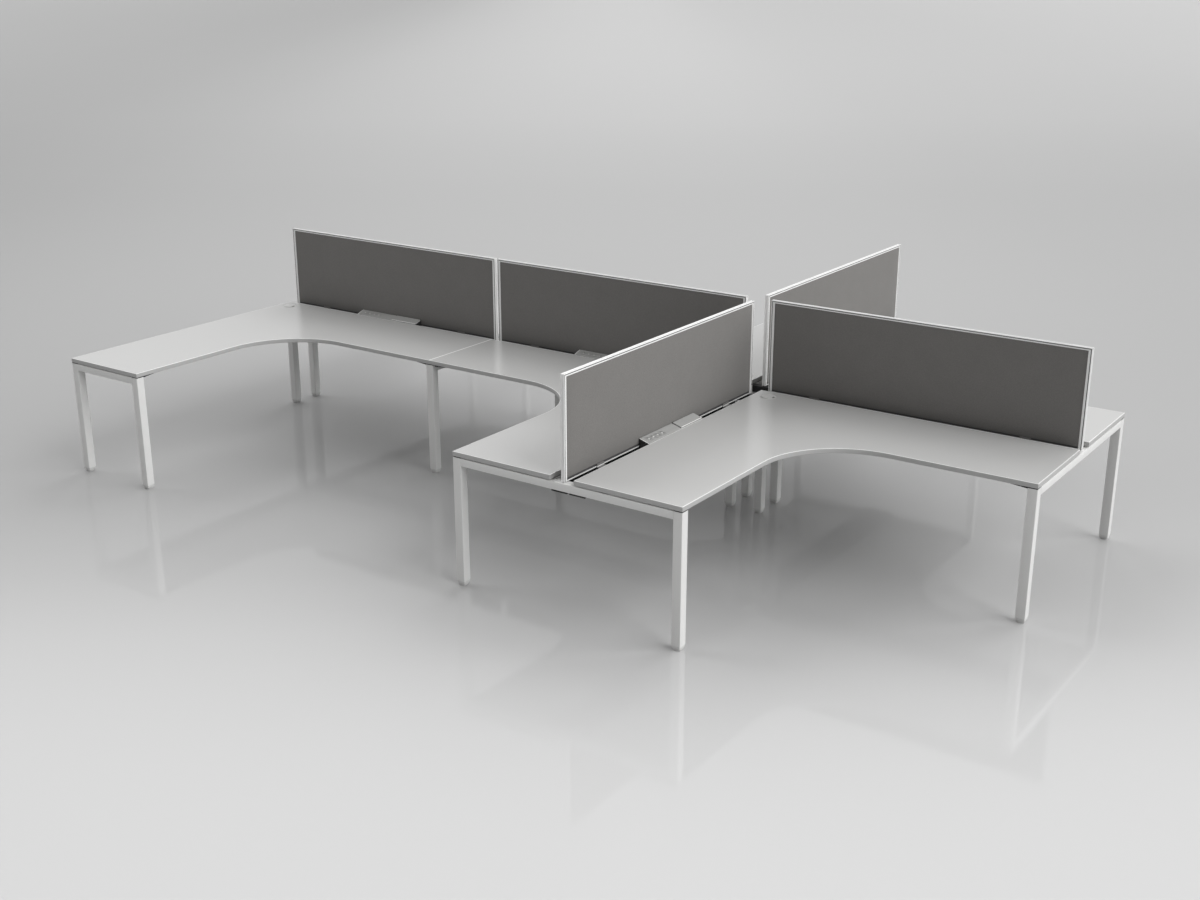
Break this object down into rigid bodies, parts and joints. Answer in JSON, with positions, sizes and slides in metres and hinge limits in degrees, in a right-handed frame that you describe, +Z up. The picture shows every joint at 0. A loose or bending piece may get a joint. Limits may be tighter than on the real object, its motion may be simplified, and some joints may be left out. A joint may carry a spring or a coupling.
{
  "type": "workstation cluster",
  "caption": "Free-standing L-shaped desks back to back on a spine of tall screens, with levelling feet, lidded power units, cable grommets and cable trays.",
  "frame": {"origin": "on the floor, in the middle of the footprint", "axes": "+X along the long spine towards the shorter end, +Y across it, +Z up"},
  "size_m": [5.54, 3.74, 1.225],
  "materials": {
    "worktop": "smooth off-white melamine board",
    "edging": "off-white edge band",
    "frame": "silver-grey powder coat",
    "foot": "cast, painted to match the legs",
    "dark_steel": "black powder coat",
    "pads": "matt black",
    "screen_frame": "satin anodised extrusion",
    "screen_cloth": "plain warm grey cloth over board",
    "shoe": "silver-grey powder coat",
    "unit": "silver-grey",
    "lid": "silver-grey with a lighter front lip",
    "socket": "off-white",
    "jack": "black",
    "grommet": "grey"
  },
  "bodies": {
    "desk_cluster": {"worktop_front_left": "worktop", "worktop_front_middle": "worktop", "worktop_front_right": "worktop", "worktop_back_left": "worktop", "worktop_back_middle": "worktop", "worktop_back_right": "worktop", "edge_banding": "edging", "screen_frame_left": "screen_frame", "screen_frame_middle": "screen_frame", "screen_frame_right": "screen_frame", "screen_frame_front": "screen_frame", "screen_frame_back": "screen_frame", "screen_panel_left": "screen_cloth", "screen_panel_middle": "screen_cloth", "screen_panel_right": "screen_cloth", "screen_panel_front": "screen_cloth", "screen_panel_back": "screen_cloth", "screen_shoes": "shoe", "leg_tubes": "frame", "frame_rails": "frame", "desk_beams": "frame", "wing_brackets": "dark_steel", "rail_pads": "pads", "cable_trays": "dark_steel", "power_housings": "unit", "power_sockets": "socket", "data_jacks": "jack", "power_inlets": "jack", "grommet_sleeves": "grommet"},
    "foot_left_corner_front": {"foot_left_corner_front": "foot"},
    "foot_left_corner_back": {"foot_left_corner_back": "foot"},
    "foot_crossing_front_left": {"foot_crossing_front_left": "foot"},
    "foot_crossing_front_right": {"foot_crossing_front_right": "foot"},
    "foot_crossing_back_left": {"foot_crossing_back_left": "foot"},
    "foot_crossing_back_right": {"foot_crossing_back_right": "foot"},
    "foot_left_front_outer": {"foot_left_front_outer": "foot"},
    "foot_left_front_inner": {"foot_left_front_inner": "foot"},
    "foot_left_back_outer": {"foot_left_back_outer": "foot"},
    "foot_left_back_inner": {"foot_left_back_inner": "foot"},
    "foot_cross_front_left": {"foot_cross_front_left": "foot"},
    "foot_cross_front_right": {"foot_cross_front_right": "foot"},
    "foot_cross_back_left": {"foot_cross_back_left": "foot"},
    "foot_cross_back_right": {"foot_cross_back_right": "foot"},
    "foot_middle_front": {"foot_middle_front": "foot"},
    "foot_middle_back": {"foot_middle_back": "foot"},
    "foot_right_front": {"foot_right_front": "foot"},
    "foot_right_back": {"foot_right_back": "foot"},
    "power_lid_front_left": {"power_lid_front_left": "lid"},
    "power_lid_front_middle": {"power_lid_front_middle": "lid"},
    "power_lid_front_right": {"power_lid_front_right": "lid"},
    "power_lid_back_left": {"power_lid_back_left": "lid"},
    "power_lid_back_middle": {"power_lid_back_middle": "lid"},
    "power_lid_back_right": {"power_lid_back_right": "lid"},
    "grommet_cap_front_left": {"grommet_cap_front_left": "grommet"},
    "grommet_cap_front_middle": {"grommet_cap_front_middle": "grommet"},
    "grommet_cap_front_right": {"grommet_cap_front_right": "grommet"},
    "grommet_cap_back_left": {"grommet_cap_back_left": "grommet"},
    "grommet_cap_back_middle": {"grommet_cap_back_middle": "grommet"},
    "grommet_cap_back_right": {"grommet_cap_back_right": "grommet"}
  },
  "joints": [
    {"name": "foot_left_corner_front_thread", "type": "slide", "parent": "desk_cluster", "child": "foot_left_corner_front", "axis": [0, 0, 1], "range_m": [-0.015, 0]},
    {"name": "foot_left_corner_back_thread", "type": "slide", "parent": "desk_cluster", "child": "foot_left_corner_back", "axis": [0, 0, 1], "range_m": [-0.015, 0]},
    {"name": "foot_crossing_front_left_thread", "type": "slide", "parent": "desk_cluster", "child": "foot_crossing_front_left", "axis": [0, 0, 1], "range_m": [-0.015, 0]},
    {"name": "foot_crossing_front_right_thread", "type": "slide", "parent": "desk_cluster", "child": "foot_crossing_front_right", "axis": [0, 0, 1], "range_m": [-0.015, 0]},
    {"name": "foot_crossing_back_left_thread", "type": "slide", "parent": "desk_cluster", "child": "foot_crossing_back_left", "axis": [0, 0, 1], "range_m": [-0.015, 0]},
    {"name": "foot_crossing_back_right_thread", "type": "slide", "parent": "desk_cluster", "child": "foot_crossing_back_right", "axis": [0, 0, 1], "range_m": [-0.015, 0]},
    {"name": "foot_left_front_outer_thread", "type": "slide", "parent": "desk_cluster", "child": "foot_left_front_outer", "axis": [0, 0, 1], "range_m": [-0.015, 0]},
    {"name": "foot_left_front_inner_thread", "type": "slide", "parent": "desk_cluster", "child": "foot_left_front_inner", "axis": [0, 0, 1], "range_m": [-0.015, 0]},
    {"name": "foot_left_back_outer_thread", "type": "slide", "parent": "desk_cluster", "child": "foot_left_back_outer", "axis": [0, 0, 1], "range_m": [-0.015, 0]},
    {"name": "foot_left_back_inner_thread", "type": "slide", "parent": "desk_cluster", "child": "foot_left_back_inner", "axis": [0, 0, 1], "range_m": [-0.015, 0]},
    {"name": "foot_cross_front_left_thread", "type": "slide", "parent": "desk_cluster", "child": "foot_cross_front_left", "axis": [0, 0, 1], "range_m": [-0.015, 0]},
    {"name": "foot_cross_front_right_thread", "type": "slide", "parent": "desk_cluster", "child": "foot_cross_front_right", "axis": [0, 0, 1], "range_m": [-0.015, 0]},
    {"name": "foot_cross_back_left_thread", "type": "slide", "parent": "desk_cluster", "child": "foot_cross_back_left", "axis": [0, 0, 1], "range_m": [-0.015, 0]},
    {"name": "foot_cross_back_right_thread", "type": "slide", "parent": "desk_cluster", "child": "foot_cross_back_right", "axis": [0, 0, 1], "range_m": [-0.015, 0]},
    {"name": "foot_middle_front_thread", "type": "slide", "parent": "desk_cluster", "child": "foot_middle_front", "axis": [0, 0, 1], "range_m": [-0.015, 0]},
    {"name": "foot_middle_back_thread", "type": "slide", "parent": "desk_cluster", "child": "foot_middle_back", "axis": [0, 0, 1], "range_m": [-0.015, 0]},
    {"name": "foot_right_front_thread", "type": "slide", "parent": "desk_cluster", "child": "foot_right_front", "axis": [0, 0, 1], "range_m": [-0.015, 0]},
    {"name": "foot_right_back_thread", "type": "slide", "parent": "desk_cluster", "child": "foot_right_back", "axis": [0, 0, 1], "range_m": [-0.015, 0]},
    {"name": "power_lid_front_left_hinge", "type": "hinge", "parent": "desk_cluster", "child": "power_lid_front_left", "pos_m": [-1.717, -0.01617, 0.74113], "axis": [-1, 0, 0], "range_deg": [0, 100]},
    {"name": "power_lid_front_middle_hinge", "type": "hinge", "parent": "desk_cluster", "child": "power_lid_front_middle", "pos_m": [0.083, -0.01617, 0.74113], "axis": [-1, 0, 0], "range_deg": [0, 100]},
    {"name": "power_lid_front_right_hinge", "type": "hinge", "parent": "desk_cluster", "child": "power_lid_front_right", "pos_m": [0.91617, -0.817, 0.74113], "axis": [0, -1, 0], "range_deg": [0, 100]},
    {"name": "power_lid_back_left_hinge", "type": "hinge", "parent": "desk_cluster", "child": "power_lid_back_left", "pos_m": [-2.023, 0.01617, 0.74113], "axis": [1, 0, 0], "range_deg": [0, 100]},
    {"name": "power_lid_back_middle_hinge", "type": "hinge", "parent": "desk_cluster", "child": "power_lid_back_middle", "pos_m": [-0.223, 0.01617, 0.74113], "axis": [1, 0, 0], "range_deg": [0, 100]},
    {"name": "power_lid_back_right_hinge", "type": "hinge", "parent": "desk_cluster", "child": "power_lid_back_right", "pos_m": [0.91617, 1.123, 0.74113], "axis": [0, -1, 0], "range_deg": [0, 100]},
    {"name": "grommet_cap_front_left_turn", "type": "hinge", "parent": "desk_cluster", "child": "grommet_cap_front_left", "pos_m": [-2.675, -0.165, 0.7203], "axis": [0, 0, 1], "continuous": true},
    {"name": "grommet_cap_front_middle_turn", "type": "hinge", "parent": "desk_cluster", "child": "grommet_cap_front_middle", "pos_m": [0.735, -0.165, 0.7203], "axis": [0, 0, 1], "continuous": true},
    {"name": "grommet_cap_front_right_turn", "type": "hinge", "parent": "desk_cluster", "child": "grommet_cap_front_right", "pos_m": [1.065, -0.165, 0.7203], "axis": [0, 0, 1], "continuous": true},
    {"name": "grommet_cap_back_left_turn", "type": "hinge", "parent": "desk_cluster", "child": "grommet_cap_back_left", "pos_m": [-2.675, 0.165, 0.7203], "axis": [0, 0, 1], "continuous": true},
    {"name": "grommet_cap_back_middle_turn", "type": "hinge", "parent": "desk_cluster", "child": "grommet_cap_back_middle", "pos_m": [0.735, 0.165, 0.7203], "axis": [0, 0, 1], "continuous": true},
    {"name": "grommet_cap_back_right_turn", "type": "hinge", "parent": "desk_cluster", "child": "grommet_cap_back_right", "pos_m": [1.065, 0.165, 0.7203], "axis": [0, 0, 1], "continuous": true}
  ]
}
